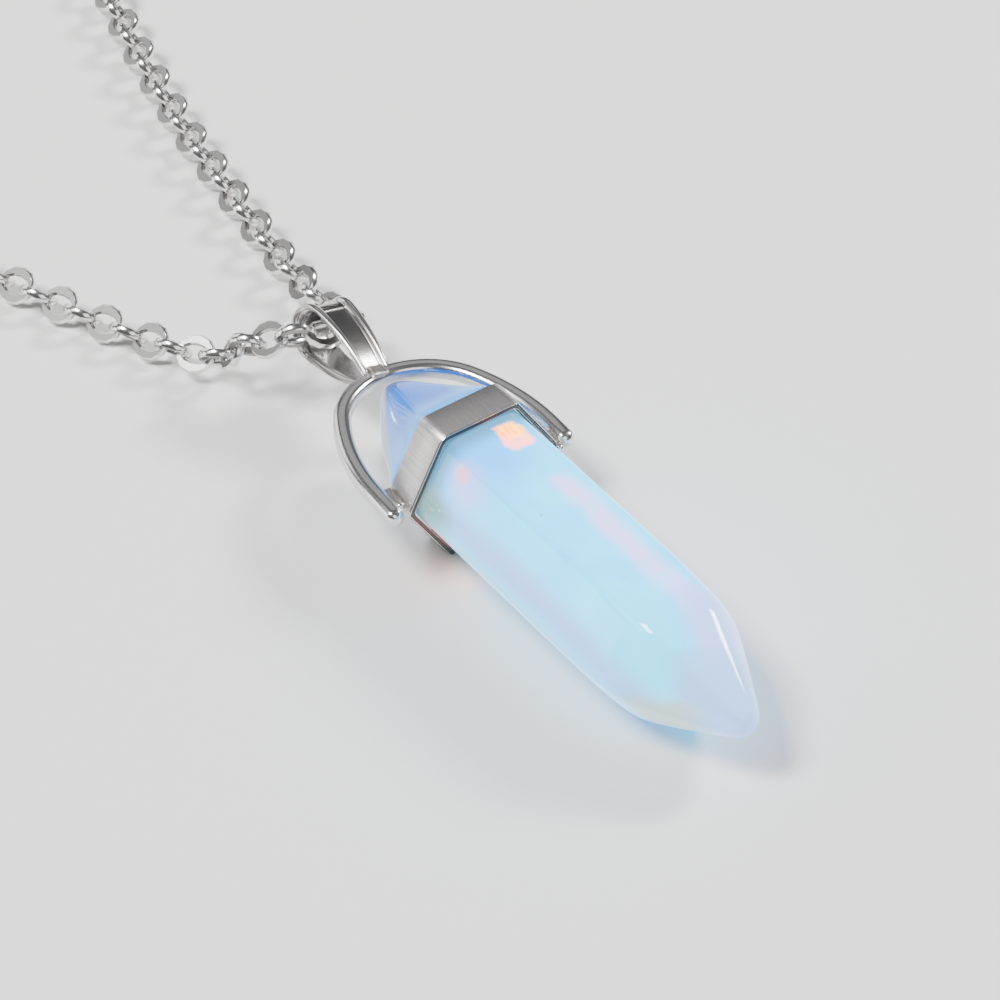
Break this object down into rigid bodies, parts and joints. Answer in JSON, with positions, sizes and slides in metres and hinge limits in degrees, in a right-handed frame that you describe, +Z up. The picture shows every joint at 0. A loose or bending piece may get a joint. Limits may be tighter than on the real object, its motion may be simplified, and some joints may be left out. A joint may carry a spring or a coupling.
{
  "type": "pendant necklace",
  "caption": "Milky six-sided crystal point in a metal collar and bent wire loop, hung by a tapered bail on a closed fine cable chain with a clasp, lying flat.",
  "frame": {"origin": "middle of the bottom of the whole necklace's bounding box, on the surface that it lies on", "axes": "+Y from the pendant's tip towards the clasp at the back of the neck, +Z up from the surface, +X to the right"},
  "size_m": [0.0896, 0.2294, 0.008],
  "materials": {
    "milky_glass": "polished, milky and opalescent",
    "polished_silver": "polished with satin faces",
    "chain_silver": "polished rims with satin flats"
  },
  "bodies": {
    "root": {"crystal_point": "milky_glass", "setting": "polished_silver", "chain": "chain_silver", "clasp": "polished_silver"}
  },
  "joints": []
}
